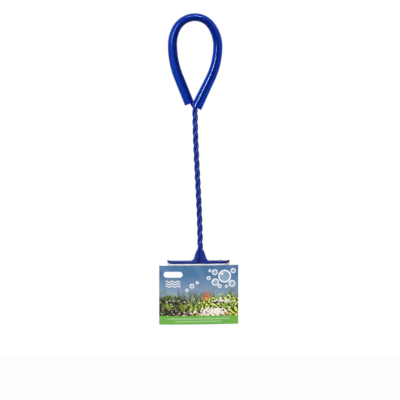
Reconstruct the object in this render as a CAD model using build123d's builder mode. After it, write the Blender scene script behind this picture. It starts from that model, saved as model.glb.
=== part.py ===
from build123d import *
import os
from math import ceil, cos, pi, radians, sin, sqrt, tan

# A hand-held aquarium net: one plastic-coated wire makes the grip loop, the twisted shank and the
# frame, a vinyl tube covers the loop, a mesh bag hangs from the frame and a folded card holds the bag.
# +X is right, +Y is back and +Z is up. The origin is the highest point inside the grip loop, where
# a hook carries the net. Lengths are in millimetres and angles in degrees.

# Wire
core_diameter = 2.0
coat_diameter = 3.2
frame_coat_diameter = 3.4
core_clearance = 0.05

# Grip loop, whose outline is given from the crown down one side
tube_diameter = 11.0
tube_bore = 5.0
tube_clearance = 0.15
crown_radius = 25.1
crown_turn = 61.6
shoulder_radius = 47.0
flank_radius = 90.5
flank_turn = 24.0
left_tube_setback = 11.47
right_tube_setback = 7.27
left_wire_lead = 0.6
right_wire_lead = 0.5

# Twisted shank
strand_gap = 0.12
twist_length = 171.5
twist_turns = 5 + 1 / 12
twist_start = 3.2
shank_shift = 6.2
loose_end_above = 2.5
loose_end_below = 5.0
loose_end_setback = 0.4

# Throat, where two strands part and turn into the frame
throat_height = 16.2
throat_spread = 17.6
throat_bend_radius = 6.0
web_thickness = 1.7
web_setback = 0.2
web_clearance = 0.15
web_top_share = 0.25
web_foot_share = 0.9
web_edge_steps = 9

# Frame
frame_width = 75.0
frame_depth = 60.0
frame_corner_radius = 9.0
frame_shift = -2.3

# Hem and its stitching
hem_height = 5.0
hem_thickness = 1.0
hem_clearance = 0.1
thread_thickness = 0.25
thread_width = 0.5
thread_rise = 1.2
thread_seat = 0.02

# Mesh bag, a wedge with an upright front and a sloping back
bag_depth = 74.8
bag_wall = 0.6
bag_clearance = 0.1
toe_width = 62.0
toe_depth = 7.0
toe_corner_radius = 3.0
seam_width = 1.6
seam_thickness = 0.5
seam_margin = 2.0

# Folded card
card_width = 96.0
card_height = 72.0
card_thickness = 0.5
card_shift = 0.6
card_front_clearance = 0.33
card_back_clearance = 0.35
card_fold_clearance = 0.5
card_fold_radius = 0.8
card_back_height = 46.0

# Places worked out from those sizes
crown_height = tube_diameter / 2
wire_inset = tube_bore / 2 - coat_diameter / 2 - tube_clearance
strand_radius = (coat_diameter + strand_gap) / sqrt(3)
flank_half_width = (
    (crown_radius - shoulder_radius) * sin(radians(crown_turn))
    + shoulder_radius - flank_radius
    + (flank_radius - wire_inset) * cos(radians(flank_turn))
)
flank_drop = (
    crown_radius
    - (crown_radius - shoulder_radius) * cos(radians(crown_turn))
    + (flank_radius - wire_inset) * sin(radians(flank_turn))
)
legs_meet_drop = flank_drop + flank_half_width / tan(radians(flank_turn))
leg_run = flank_half_width / sin(radians(flank_turn))
left_tube_leg = leg_run - left_tube_setback
right_tube_leg = leg_run - right_tube_setback
twist_top = crown_height - legs_meet_drop + twist_start
twist_bottom = twist_top - twist_length
bar_height = twist_bottom - throat_height
frame_centre = shank_shift + frame_shift
ring_width = frame_width - frame_coat_diameter
ring_depth = frame_depth - frame_coat_diameter
hem_top = bar_height - frame_coat_diameter / 2 - hem_clearance
hem_bottom = hem_top - hem_height
bag_inset = hem_thickness / 2 + bag_clearance
bag_bottom = bar_height - bag_depth
card_bottom = bag_bottom - card_fold_clearance - card_thickness
card_top = card_bottom + card_height


def wire_route(stops):
    """Join stops, each a point and a direction, by straight runs and pairs of tangent arcs."""
    with BuildLine() as route:
        for (start, leaving), (end, arriving) in zip(stops, stops[1:]):
            chord = end - start
            if chord.normalized().dot(leaving + arriving) > 2 - 1e-9:
                Line(start, end)
                continue
            along = chord.dot(leaving + arriving)
            turn = 2 * (1 - leaving.dot(arriving))
            handle = chord.dot(chord) / (along + sqrt(along**2 + turn * chord.dot(chord)))
            first_corner = start + leaving * handle
            last_corner = end - arriving * handle
            middle = (first_corner + last_corner) / 2
            TangentArc(start, middle, tangent=leaving)
            TangentArc(middle, end, tangent=last_corner - first_corner)
    return Wire(route.edges())


def sweep_round(stops, diameter, bore=0.0):
    """Sweep a round section along a route into the part being built, hollow if it has a bore."""
    route = wire_route(stops)
    with BuildSketch(Plane(origin=route @ 0, z_dir=route % 0)) as section:
        Circle(diameter / 2)
        if bore:
            Circle(bore / 2, mode=Mode.SUBTRACT)
    sweep(section.sketch, path=route)


def reverse_stops(stops):
    """The same route travelled the other way."""
    return [(point, -direction) for point, direction in reversed(stops)]


def loop_side(side, setback, inset, leg):
    """Stops from the crown down one side of the grip loop, inset towards the middle of the loop.

    The side's plane leans back so far that its leg reaches the setback at the top of the twist.
    """
    outward = Vector(side, 0, 0)
    down = Vector(0, setback, twist_top - crown_height).normalized()
    crown = Vector(0, 0, crown_height)
    crown_normal = Vector(sin(radians(crown_turn)), -cos(radians(crown_turn)))
    flank_normal = Vector(cos(radians(flank_turn)), sin(radians(flank_turn)))
    crown_centre = Vector(0, crown_radius)
    shoulder_centre = crown_centre + crown_normal * (crown_radius - shoulder_radius)
    flank_centre = shoulder_centre + Vector(shoulder_radius - flank_radius, 0)
    turns = [
        (crown_centre, crown_radius, Vector(0, -1)),
        (crown_centre, crown_radius, crown_normal),
        (shoulder_centre, shoulder_radius, Vector(1, 0)),
        (flank_centre, flank_radius, flank_normal),
    ]
    stops = []
    for centre, radius, normal in turns:
        place = centre + normal * (radius - inset)
        point = crown + outward * place.X + down * place.Y
        stops.append((point, outward * -normal.Y + down * normal.X))
    flank_end, leg_direction = stops[-1]
    return stops + [(flank_end + leg_direction * leg, leg_direction)]


def strand_stop(bottom_angle, height):
    """Point and downward direction of a strand, at a height above the foot of the twist."""
    turn_rate = 2 * pi * twist_turns / twist_length
    angle = radians(bottom_angle) + turn_rate * height
    share = min(max(height / twist_length, 0), 1)
    lean = shank_shift * (1 - share**2 * (3 - 2 * share))
    lean_rate = -6 * shank_shift * share * (1 - share) / twist_length
    point = Vector(lean + strand_radius * cos(angle), strand_radius * sin(angle), twist_bottom + height)
    rise = Vector(
        lean_rate - strand_radius * sin(angle) * turn_rate,
        strand_radius * cos(angle) * turn_rate,
        1,
    )
    return point, -rise.normalized()


def strand_stops(bottom_angle):
    """Stops of one strand from the top of the twist to its foot, about a quarter turn apart."""
    spans = ceil(4 * twist_turns)
    heights = [twist_length * (1 - step / spans) for step in range(spans + 1)]
    return [strand_stop(bottom_angle, height) for height in heights]


def throat_stops(side, foot):
    """Stops of a strand from the foot of the twist round its bend to the start of the frame bar."""
    corner = Vector(shank_shift + side * throat_spread / 2, 0, bar_height)
    slant = (corner - foot).normalized()
    outward = Vector(side, 0, 0)
    tangent_length = throat_bend_radius * tan(radians(slant.get_angle(outward)) / 2)
    return [
        (corner - slant * tangent_length, slant),
        (corner + outward * tangent_length, outward),
    ]


# Routes. Strand a has its free end at the top and ends in the left half of the frame bar, strand b
# runs from the right leg of the loop to the right half, and strand c from the left leg to a free end.
angle_a = 210
angle_b = -30
angle_c = 90
twist_a = strand_stops(angle_a)
twist_b = strand_stops(angle_b)
twist_c = strand_stops(angle_c)
throat_a = throat_stops(-1, twist_a[-1][0])
throat_b = throat_stops(1, twist_b[-1][0])
left_side = loop_side(-1, twist_c[0][0].Y, wire_inset, left_tube_leg + left_wire_lead)
right_side = loop_side(1, twist_b[0][0].Y, wire_inset, right_tube_leg + right_wire_lead)
loose_end = twist_c[-1][0] + Vector(0, loose_end_setback, -loose_end_below)
loop_route = reverse_stops(left_side) + right_side[1:]
strand_routes = {
    "strand_a": [strand_stop(angle_a, twist_length + loose_end_above)] + twist_a + throat_a,
    "strand_b": [right_side[-1]] + twist_b + throat_b,
    "strand_c": [left_side[-1]] + twist_c + [(loose_end, Vector(0, 0, -1))],
}

# The frame ring is the rest of the same wire, from the left bend round the back to the right bend
left, right = frame_centre - ring_width / 2, frame_centre + ring_width / 2
frame_route = [throat_a[-1]]
for corner, arriving, leaving in [
    (Vector(left, 0, bar_height), Vector(-1, 0, 0), Vector(0, 1, 0)),
    (Vector(left, ring_depth, bar_height), Vector(0, 1, 0), Vector(1, 0, 0)),
    (Vector(right, ring_depth, bar_height), Vector(1, 0, 0), Vector(0, -1, 0)),
    (Vector(right, 0, bar_height), Vector(0, -1, 0), Vector(-1, 0, 0)),
]:
    frame_route.append((corner - arriving * frame_corner_radius, arriving))
    frame_route.append((corner + leaving * frame_corner_radius, leaving))
frame_route.append((throat_b[-1][0], Vector(-1, 0, 0)))

os.makedirs("parts", exist_ok=True)
coat_bore = core_diameter + 2 * core_clearance

# Grip: the tube, and the coated wire that runs along the inner side of its bore
tube_left = loop_side(-1, twist_c[0][0].Y, 0, left_tube_leg)
tube_right = loop_side(1, twist_b[0][0].Y, 0, right_tube_leg)
with BuildPart() as grip_tube:
    sweep_round(reverse_stops(tube_left) + tube_right[1:], tube_diameter, tube_bore)
grip_tube.part.label = "grip_tube"
export_step(grip_tube.part, "parts/grip_tube.step")

# Wire: the steel core and the plastic coat of each stretch
coat_diameters = {"loop": coat_diameter, "frame": frame_coat_diameter}
for stretch, stops in {"loop": loop_route, **strand_routes, "frame": frame_route}.items():
    with BuildPart() as core:
        sweep_round(stops, core_diameter)
    core.part.label = f"{stretch}_core"
    export_step(core.part, f"parts/{stretch}_core.step")

    with BuildPart() as coating:
        sweep_round(stops, coat_diameters.get(stretch, coat_diameter), coat_bore)
    coating.part.label = f"{stretch}_coating"
    export_step(coating.part, f"parts/{stretch}_coating.step")

# Throat web: the plastic skin that fills the crotch between the two parting strands
def web_edge(stops, side):
    """Points along the inner side of a parting strand, clear of its coat, from top to foot."""
    route = wire_route(stops)
    points = []
    for step in range(web_edge_steps + 1):
        share = web_top_share + (web_foot_share - web_top_share) * step / web_edge_steps
        place, heading = route @ share, route % share
        inward = Vector(heading.Z, -heading.X).normalized() * side
        points.append(Vector(place.X, place.Z) + inward * (coat_diameter / 2 + web_clearance))
    return points


web_left = web_edge(twist_a[-1:] + throat_a, -1)
web_right = web_edge(twist_b[-1:] + throat_b, 1)
with BuildPart() as throat_web:
    with BuildSketch(Plane(origin=(0, web_setback, 0), x_dir=(1, 0, 0), z_dir=(0, -1, 0))):
        with BuildLine():
            Polyline(*web_left, *reversed(web_right), close=True)
        make_face()
    extrude(amount=web_thickness)
throat_web.part.label = "throat_web"
export_step(throat_web.part, "parts/throat_web.step")


def ring_outline(grow, mode=Mode.ADD):
    """The frame's rounded rectangle, grown outwards all round."""
    RectangleRounded(
        ring_width + 2 * grow, ring_depth + 2 * grow, frame_corner_radius + grow, mode=mode
    )


# Hem: a doubled band of mesh under the frame wire, and the row of thread that closes it
with BuildPart() as net_hem:
    with BuildSketch(Plane(origin=(frame_centre, ring_depth / 2, hem_bottom))):
        ring_outline(hem_thickness / 2)
        ring_outline(-hem_thickness / 2, mode=Mode.SUBTRACT)
    extrude(amount=hem_height)
net_hem.part.label = "net_hem"
export_step(net_hem.part, "parts/net_hem.step")

thread_inside = hem_thickness / 2 + thread_seat
with BuildPart() as hem_stitching:
    with BuildSketch(Plane(origin=(frame_centre, ring_depth / 2, hem_bottom + thread_rise))):
        ring_outline(thread_inside + thread_thickness)
        ring_outline(thread_inside, mode=Mode.SUBTRACT)
    extrude(amount=thread_width)
hem_stitching.part.label = "hem_stitching"
export_step(hem_stitching.part, "parts/hem_stitching.step")

# Bag: levels from the mouth to the toe, each with its width, nearest and furthest place and corner
mouth_width = ring_width - 2 * bag_inset
mouth_far = ring_depth - bag_inset
mouth_corner = frame_corner_radius - bag_inset
bag_levels = [
    (hem_top, mouth_width, mouth_far, mouth_corner),
    (hem_bottom, mouth_width, mouth_far, mouth_corner),
    (bag_bottom, toe_width, bag_inset + toe_depth, toe_corner_radius),
]
with BuildPart() as net_bag:
    for level, width, far, corner in bag_levels:
        with BuildSketch(Plane(origin=(frame_centre, (bag_inset + far) / 2, level))):
            RectangleRounded(width, far - bag_inset, corner)
    loft(ruled=True)
    for level, width, far, corner in bag_levels:
        floor = bag_wall if level == bag_bottom else 0
        with BuildSketch(Plane(origin=(frame_centre, (bag_inset + far) / 2, level + floor))):
            RectangleRounded(width - 2 * bag_wall, far - bag_inset - 2 * bag_wall, corner - bag_wall)
    loft(ruled=True, mode=Mode.SUBTRACT)
net_bag.part.label = "net_bag"
export_step(net_bag.part, "parts/net_bag.step")

# Side seams: a sewn strip down each side of the bag, from the hem to the toe
seam_top = Vector(frame_centre + mouth_width / 2, (bag_inset + mouth_far) / 2, hem_bottom)
seam_foot = Vector(frame_centre + toe_width / 2, bag_inset + toe_depth / 2, bag_bottom)
seam_line = seam_foot - seam_top
side_normal = Vector(-seam_line.Z, 0, seam_line.X).normalized()
seam_middle = (seam_top + seam_foot) / 2 + side_normal * thread_seat
with BuildPart() as side_seams:
    with BuildSketch(Plane(origin=seam_middle, x_dir=seam_line, z_dir=side_normal)):
        Rectangle(seam_line.length - 2 * seam_margin, seam_width)
    extrude(amount=seam_thickness)
    mirror(about=Plane.YZ.offset(frame_centre))
side_seams.part.label = "side_seams"
export_step(side_seams.part, "parts/side_seams.step")

# Card: one sheet folded under the toe, with an upright front and a lower back along the bag's slope
back_slope = (mouth_far - bag_inset - toe_depth) / (hem_bottom - bag_bottom)
card_inner = -(thread_inside + thread_thickness + card_front_clearance)
card_outer = card_inner - card_thickness
card_back_top = card_bottom + card_back_height
card_floor = card_bottom + card_thickness


def card_back(height, distance):
    """How far back the card's back lies at a height, at a distance square to the bag's back."""
    bag_back = bag_inset + toe_depth + back_slope * (height - bag_bottom)
    return bag_back + distance * sqrt(1 + back_slope**2)


card_back_outside = card_back_clearance + card_thickness
with BuildPart() as pack_card:
    with BuildSketch(Plane.YZ.offset(frame_centre + card_shift - card_width / 2)) as profile:
        with BuildLine():
            Polyline(
                (card_outer, card_top),
                (card_outer, card_bottom),
                (card_back(card_bottom, card_back_outside), card_bottom),
                (card_back(card_back_top, card_back_outside), card_back_top),
                (card_back(card_back_top, card_back_clearance), card_back_top),
                (card_back(card_floor, card_back_clearance), card_floor),
                (card_inner, card_floor),
                (card_inner, card_top),
                close=True,
            )
        make_face()
        fillet(profile.vertices().group_by(Axis.Y)[0], card_fold_radius)
    extrude(amount=card_width)
pack_card.part.label = "pack_card"
export_step(pack_card.part, "parts/pack_card.step")
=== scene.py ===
# A small hand net for an aquarium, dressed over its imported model. One coated wire makes the grip loop, the
# twisted shank and the frame, a vinyl tube covers the loop, and a mesh bag in a folded card hangs below.
# Places are in metres in the model's frame: +X right, +Y back, +Z up, origin under the top of the loop.
import math

import bpy
import numpy as np
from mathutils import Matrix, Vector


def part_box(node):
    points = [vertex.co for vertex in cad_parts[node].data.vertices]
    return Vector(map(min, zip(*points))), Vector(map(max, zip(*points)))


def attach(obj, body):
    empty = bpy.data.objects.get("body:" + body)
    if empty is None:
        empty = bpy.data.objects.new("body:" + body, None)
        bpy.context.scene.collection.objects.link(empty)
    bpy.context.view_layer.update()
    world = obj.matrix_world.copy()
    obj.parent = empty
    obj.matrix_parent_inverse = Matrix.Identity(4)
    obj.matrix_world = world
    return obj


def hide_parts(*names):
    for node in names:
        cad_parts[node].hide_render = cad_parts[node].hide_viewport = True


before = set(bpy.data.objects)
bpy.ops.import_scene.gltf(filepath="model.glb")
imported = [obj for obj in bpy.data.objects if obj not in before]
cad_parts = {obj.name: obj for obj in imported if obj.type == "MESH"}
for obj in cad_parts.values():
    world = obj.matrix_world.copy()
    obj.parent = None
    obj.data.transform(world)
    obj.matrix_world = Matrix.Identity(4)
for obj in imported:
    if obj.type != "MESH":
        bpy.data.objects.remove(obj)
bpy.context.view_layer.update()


# Loop wire: steel drawn through a die, under a coat of soft blue plastic, bent to the loop that the grip
# covers. It lies off the tube's middle, mostly towards the inside of the loop, and is drawn thicker there, as
# real vinyl magnifies it more. The coat is satin, faintly scored along its length and a little cloudy.
MM = 0.001
core_radius = 1.0 * MM
coat_radius = 1.6 * MM
wire_sides = 24
loop_top = 5.5 * MM
loop_step, loop_longest = 0.6 * MM, 200.0 * MM
# The bends of each side of the loop, from the crown down: a radius in millimetres and a turn in degrees
left_bends = ((25.9, 63.8), (43.3, 26.2), (107.0, 22.0))
right_bends = ((24.0, 53.0), (42.9, 37.0), (91.5, 25.7))
left_reach, right_reach = 106.4 * MM, 111.3 * MM
left_lean = 1.66 / 112
# How far the wire lies inside the tube's middle line, by shares of the way from the left end to the right
inset_marks = np.array([0, 0.1, 0.23, 0.49, 0.63, 0.78, 1.0])
wire_insets = np.array([2.3, 2.2, 2.5, 1.5, 0.8, -0.3, 0.3]) * MM
lens_swell, swell_run = 0.5 * MM, 8.0 * MM
score_rate = 8.0


class Tone:
    """A socket of a material. Sums with it add Math nodes, and node() adds any other kind of node."""

    def __init__(self, tree, socket=None):
        self.tree = tree
        self.socket = socket

    def node(self, kind, sockets, output=0, **settings):
        """Add a node, set it up, give each socket its value or link, and return one of its outputs."""
        made = self.tree.nodes.new("ShaderNode" + kind)
        for setting, value in settings.items():
            setattr(made, setting, value)
        for socket, value in sockets.items():
            if isinstance(value, Tone):
                self.tree.links.new(value.socket, made.inputs[socket])
            else:
                made.inputs[socket].default_value = value
        return Tone(self.tree, made.outputs[output])

    def into(self, socket):
        """Link this value to a socket of the shader."""
        self.tree.links.new(self.socket, socket)

    def __add__(self, other):
        return self.node("Math", {0: self, 1: other}, operation="ADD")

    def __sub__(self, other):
        return self.node("Math", {0: self, 1: other}, operation="SUBTRACT")

    def __rsub__(self, other):
        return self.node("Math", {0: other, 1: self}, operation="SUBTRACT")

    def __mul__(self, other):
        return self.node("Math", {0: self, 1: other}, operation="MULTIPLY")

    __radd__ = __add__
    __rmul__ = __mul__


def new_finish(name, constants):
    """A Principled material with constants on its own sockets: material, shader and Object coordinates."""
    material = bpy.data.materials.new(name)
    material.use_nodes = True
    shader = material.node_tree.nodes["Principled BSDF"]
    for socket, value in constants.items():
        shader.inputs[socket].default_value = value
    return material, shader, Tone(material.node_tree).node("TexCoord", {}, "Object")


def ink(code):
    """A colour of six screen digits as the shader's linear red, green, blue and alpha."""
    screen = np.array([int(code[digit:digit + 2], 16) for digit in (0, 2, 4)]) / 255
    linear = np.where(screen <= 0.04045, screen / 12.92, ((screen + 0.055) / 1.055) ** 2.4)
    return (*linear.tolist(), 1.0)


def grain(vector, scale, detail):
    """Clouds or grain from 0 to 1: noise over a vector, finer with its scale and rougher with its detail."""
    return vector.node("TexNoise", {"Vector": vector, "Scale": scale, "Detail": detail})


def tint(share, first, second):
    """A colour between two, by a share that changes over the surface."""
    return share.node("Mix", {0: share, 6: first, 7: second}, 2, data_type="RGBA")


def dent(shader, height, strength, depth):
    """Let a height from 0 to 1 stand out of a shader's surface, through a Bump node on its Normal."""
    bump = height.node("Bump", {"Height": height, "Strength": strength, "Distance": depth})
    bump.into(shader.inputs["Normal"])


def unit(vectors):
    """The same directions, one long."""
    return vectors / np.linalg.norm(vectors, axis=-1, keepdims=True)


def headings_of(line):
    """Unit headings along a line, from each place's two neighbours."""
    return unit(np.gradient(line, axis=0))


def distances(line):
    """How far along a line each of its places is: the running sum of the steps between them."""
    return np.cumsum(np.linalg.norm(np.diff(line, axis=0, prepend=line[:1]), axis=1))


def ease(share):
    """A share that leaves 0 and arrives at 1 level: 3 share^2 - 2 share^3, held past both ends."""
    share = np.clip(share, 0, 1)
    return share**2 * (3 - 2 * share)


def loop_side(side, lean, bends, reach):
    """One side of the loop's middle line, from the crown down to a reach below it. Its heading turns evenly
    over each bend's radius times its turn, then stays, and its places are the running sum of small steps."""
    radii, turns = np.array(bends).T * [[MM], [math.pi / 180]]
    marks, turned = (np.concatenate([[0], np.cumsum(values)]) for values in (radii * turns, turns))
    angle = np.interp(np.arange(loop_step / 2, loop_longest, loop_step), marks, turned)
    out, fall = (np.concatenate([[0], np.cumsum(part(angle)) * loop_step]) for part in (np.cos, np.sin))
    return np.stack([side * out, fall * lean, loop_top - fall], axis=1)[fall < reach]


def carry(line, heading, across, half_wide, half_deep, sides):
    """An oval carried along a line: cos times its half width along (across x heading) plus sin times its
    half depth along the third axis. Gives the grid of places, rows along the line, and the section that
    scores follow: the oval's cos and sin, and the distance along the line times score_rate."""
    side = unit(np.cross(across, heading))
    third = np.cross(heading, side)
    turn = np.linspace(0, 2 * math.pi, sides, endpoint=False)
    wide = half_wide[:, None, None] * np.cos(turn)[None, :, None]
    deep = half_deep[:, None, None] * np.sin(turn)[None, :, None]
    places = line[:, None] + side[:, None] * wide + third[:, None] * deep
    along = distances(line)[:, None] * score_rate
    return places, np.stack(np.broadcast_arrays(np.cos(turn), np.sin(turn), along), axis=2)


def wrap(rows, columns, ring=False):
    """Faces of a grid whose columns close round, as arrays of corner numbers. A ring also joins the last row
    to the first, and a grid that isn't one is closed by a face over each end."""
    row = np.arange(rows if ring else rows - 1)[:, None]
    column = np.arange(columns)[None]
    after, beside = (row + 1) % rows * columns, (column + 1) % columns
    row = row * columns
    faces = np.stack([row + column, row + beside, after + beside, after + column], axis=2).reshape(-1, 4)
    if ring:
        return [faces]
    return [faces, np.concatenate([column[:, ::-1], column + (rows - 1) * columns])]


def new_piece(name, places, faces, material, sharp=40, **attributes):
    """A smooth mesh object at the origin, with its edges sharp past an angle. Faces come as arrays of corner
    numbers, and each attribute is a number, a vector or a colour at every point."""
    mesh = bpy.data.meshes.new(name)
    mesh.from_pydata(np.reshape(places, (-1, 3)), [], [face for group in faces for face in group.tolist()])
    mesh.polygons.foreach_set("use_smooth", np.ones(len(mesh.polygons), bool))
    mesh.set_sharp_from_angle(angle=math.radians(sharp))
    mesh.materials.append(material)
    kinds = {3: ("FLOAT_VECTOR", "vector"), 4: ("FLOAT_COLOR", "color")}
    for label, values in attributes.items():
        kind, field = kinds.get(np.shape(values)[-1], ("FLOAT", "value"))
        data = mesh.attributes.new(label, kind, "POINT").data
        data.foreach_set(field, np.ravel(values).astype(np.float32))
    piece = bpy.data.objects.new(name, mesh)
    bpy.context.scene.collection.objects.link(piece)
    return piece


def wire_piece(name, line, heading, across, radius, finish, **attributes):
    """A round wire with a radius at each place of its line, closed over both ends, as a piece."""
    places, section = carry(line, heading, across, radius, radius, wire_sides)
    return new_piece(name, places, wrap(len(line), wire_sides), finish, section=section, **attributes)


steel, steel_shader, steel_places = new_finish("drawn_steel", {"Metallic": 1.0})
die_marks = grain(steel_places, 2600.0, 3.0)
tint(die_marks, ink("7d7f84"), ink("b9bbbf")).into(steel_shader.inputs["Base Color"])
(die_marks * 0.25 + 0.22).into(steel_shader.inputs["Roughness"])

coat, coat_shader, coat_places = new_finish("blue_wire_coat", {"IOR": 1.22})
coat_section = coat_places.node("Attribute", {}, "Vector", attribute_name="section")
# The deep attribute carries painted shade: where it is set, the coat's blue is darkened towards dark navy.
coat_painted_shade = coat_places.node("Attribute", {}, "Fac", attribute_name="deep")
coat_cloud = grain(coat_places, 140.0, 3.0)
coat_score = grain(coat_section, 7.0, 4.0)
coat_grain = grain(coat_places, 1500.0, 2.0)
coat_blue = tint(coat_cloud, ink("0e1c74"), ink("1c3ba6"))
# Painted shade: the blue is mixed towards dark navy by the deep attribute
tint(coat_painted_shade, coat_blue, ink("060c40")).into(coat_shader.inputs["Base Color"])
(coat_cloud * 0.1 + coat_score * 0.1 + 0.16).into(coat_shader.inputs["Roughness"])
dent(coat_shader, coat_score * 0.7 + coat_grain * 0.3, 0.1, 0.1 * MM)

loop_left = loop_side(-1, left_lean, left_bends, left_reach)
loop_right = loop_side(1, 0.0, right_bends, right_reach)
loop_middle = np.concatenate([loop_left[::-1], loop_right[1:]])
loop_heading = headings_of(loop_middle)
loop_rows = np.arange(len(loop_middle))
wire_inset = np.interp(loop_rows / loop_rows[-1], inset_marks, wire_insets)
loop_line = loop_middle + unit(np.cross([0, 1, 0], loop_heading)) * wire_inset[:, None]
from_end = np.minimum(loop_rows, loop_rows[::-1]) * loop_step
loop_coat = coat_radius + lens_swell * ease(from_end / swell_run)
for label, radius, finish, slot in (
    ("coating", loop_coat, coat, "wire_coat"),
    ("core", np.full(len(loop_line), core_radius), steel, "wire_steel"),
):
    piece = wire_piece(f"loop_wire_{label}", loop_line, loop_heading, [0, 1, 0], radius, finish)
    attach(piece, "net")
    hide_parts(f"loop_{label}")


# Shank: three strands of the coated wire, twisted together right-handed by hand tools, leaning to the right.
# Strand a is cut off at the top and turns into the left of the frame, b comes from the right leg of the loop
# and turns into the right of the frame, and c comes from the left leg and is cut off behind the throat.
bar_radius = 2.1 * MM
twist_top = -106.504 * MM
twist_length = 171.5 * MM
twist_foot = twist_top - twist_length
twist_turns = 5 + 1 / 12
foot_angles = {"a": 210, "b": -30, "c": 90}
shank_lean = 6.2 * MM
strand_gap = 0.12 * MM
strand_spread = (2 * coat_radius + strand_gap) / math.sqrt(3)
throat_height = 16.3 * MM
bar_height = twist_foot - throat_height
shoulder_reach, shoulder_fall, shoulder_front = 3.7 * MM, 4.4 * MM, 0.5 * MM
throat_reach = 6.9 * MM
throat_bend = 6.0 * MM
throat_lap = 1.0 * MM
leg_b_delay = 2.5 * MM
free_end = np.array([[-2.1, -3.4, -99.3]]) * MM
loose_tail = np.array([[0, 0.4, -5.0]]) * MM
stops_each_turn, run_steps = 4, 14
# The lip of a cut end, in lips: how far in from the cut its rows are, and how far within the full radius
lip_rows = np.array([0.0, 0.12, 0.4, 1.0])
lip_sizes = np.array([1.0, 0.5, 0.12, 0.0])
cut_lip, cut_depth = 0.2 * MM, 1.0 * MM


def smooth_line(places, headings):
    """A line through stops. Each run is a cubic that leaves and arrives along the stops' headings, with
    handles of 2 / (1 + cos of half its turn) times its chord, which makes an even bend a round arc."""
    chord = places[1:] - places[:-1]
    reach = np.linalg.norm(chord, axis=1)
    half_turn = np.sqrt(np.clip((1 + (headings[1:] * headings[:-1]).sum(axis=1)) / 2, 0, 1))
    handle = (reach * 2 / (1 + half_turn))[:, None, None]
    leave, arrive = headings[:-1, None] * handle, headings[1:, None] * handle
    start, end = places[:-1, None], places[1:, None]
    t = np.linspace(0, 1, run_steps, endpoint=False)[None, :, None]
    runs = start * (1 + 2 * t) * (1 - t) ** 2 + end * t**2 * (3 - 2 * t)
    runs = runs + leave * t * (1 - t) ** 2 - arrive * t**2 * (1 - t)
    return np.concatenate([runs.reshape(-1, 3), places[-1:]])


def strand_stops(strand, heights):
    """Stops of a helix about the leaning shank, downwards: angle grows evenly with height, and the axis leans
    by 1 less the eased share of the height in the twist, whose slope is 6 share (1 - share)."""
    rate = 2 * math.pi * twist_turns / twist_length
    angle = math.radians(foot_angles[strand]) + rate * heights
    share = heights / twist_length
    axis = shank_lean * (1 - ease(share))
    axis_rate = -6 * shank_lean * share * (1 - share) / twist_length
    right, back = strand_spread * np.cos(angle), strand_spread * np.sin(angle)
    places = np.stack([axis + right, back, twist_foot + heights], axis=1)
    rise = np.stack([axis_rate - back * rate, right * rate, np.ones_like(heights)], axis=1)
    return places, -unit(rise)


def throat_stops(side):
    """The strand's shoulder below the twist, its slant, and its bend of throat_bend into the frame's bar."""
    shoulder = np.array([shank_lean + side * shoulder_reach, -shoulder_front, twist_foot - shoulder_fall])
    corner = np.array([shank_lean + side * throat_reach, 0, bar_height])
    slant = unit(corner - shoulder)
    outward = np.array([side, 0, 0])
    tangent = throat_bend * math.tan(math.acos(slant @ outward) / 2)
    stops = np.array([shoulder, corner - slant * tangent, corner + outward * tangent])
    return stops, np.array([slant, slant, outward])


def cut_end(line, heading, radius):
    """Rows that finish a coat at its first place: up out of its bore, over the square face, round a lip."""
    inside = np.concatenate([[cut_depth, 0], lip_rows * cut_lip])
    size = np.concatenate([[core_radius, core_radius], radius[0] - lip_sizes * cut_lip])
    rows = line[0] + heading[0] * inside[:, None]
    return (
        np.concatenate([rows, line[1:]]),
        np.concatenate([np.full_like(rows, heading[0]), heading[1:]]),
        np.concatenate([size, radius[1:]]),
    )


twist_heights = np.linspace(twist_length, 0, stops_each_turn * math.ceil(twist_turns) + 1)
stops_a = strand_stops("a", twist_heights)
stops_b = strand_stops("b", np.concatenate([twist_heights[:1] - leg_b_delay, twist_heights[1:]]))
stops_c = strand_stops("c", twist_heights)
throat_a, throat_b = throat_stops(-1), throat_stops(1)
loose_end = stops_c[0][-1:] + loose_tail
strand_parts = {
    "a": [(free_end, unit(stops_a[0][:1] - free_end)), stops_a, throat_a],
    "b": [(loop_line[-1:], loop_heading[-1:]), stops_b, throat_b],
    "c": [(loop_line[:1], -loop_heading[:1]), stops_c, (loose_end, np.array([[0, 0, -1]]))],
}
throat_lines = {}
for strand, parts in strand_parts.items():
    line = smooth_line(*(np.concatenate(values) for values in zip(*parts)))
    heading = headings_of(line)
    throat_lines[strand] = line[line[:, 2] < twist_foot + throat_lap]
    core_size = np.full(len(line), core_radius)
    piece = wire_piece(f"strand_{strand}_steel", line, heading, [0, 1, 0], core_size, steel)
    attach(piece, "net")
    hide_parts(f"strand_{strand}_core")
    # Strands a and b thicken towards the frame, and a and c end in a cut face
    swell = bar_radius - coat_radius if strand != "c" else 0.0
    radius = coat_radius + swell * ease((twist_foot - line[:, 2]) / throat_height)
    if strand == "c":
        line, heading, radius = line[::-1], -heading[::-1], radius[::-1]
    if strand != "b":
        line, heading, radius = cut_end(line, heading, radius)
    piece = wire_piece(f"strand_{strand}_coat", line, heading, [0, 1, 0], radius, coat)
    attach(piece, "net")
    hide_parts(f"strand_{strand}_coating")


# Throat skin: the plastic coat runs together in the crotch where strands a and b part. It has spread from
# each strand into a flat lobe, and a groove is left where the two lobes meet. Its colour has painted shade
# all over, darkest in the groove and at its foot.
skin_top = twist_foot - 0.5 * MM
foot_reach, foot_round = 1.08 * bar_radius, 1.12 * bar_radius
groove_half, lobe_half = 0.35 * MM, 1.75 * MM
groove_share = 0.44
# Painted shade in the skin's colour: over the whole skin, in the groove, at the foot, and at most
lobe_painted_shade, groove_painted_shade, foot_painted_shade, painted_shade_most = 0.25, 0.7, 0.8, 0.9
skin_rows, skin_half_sides = 60, 48
skin_score_rate = 60


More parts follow.
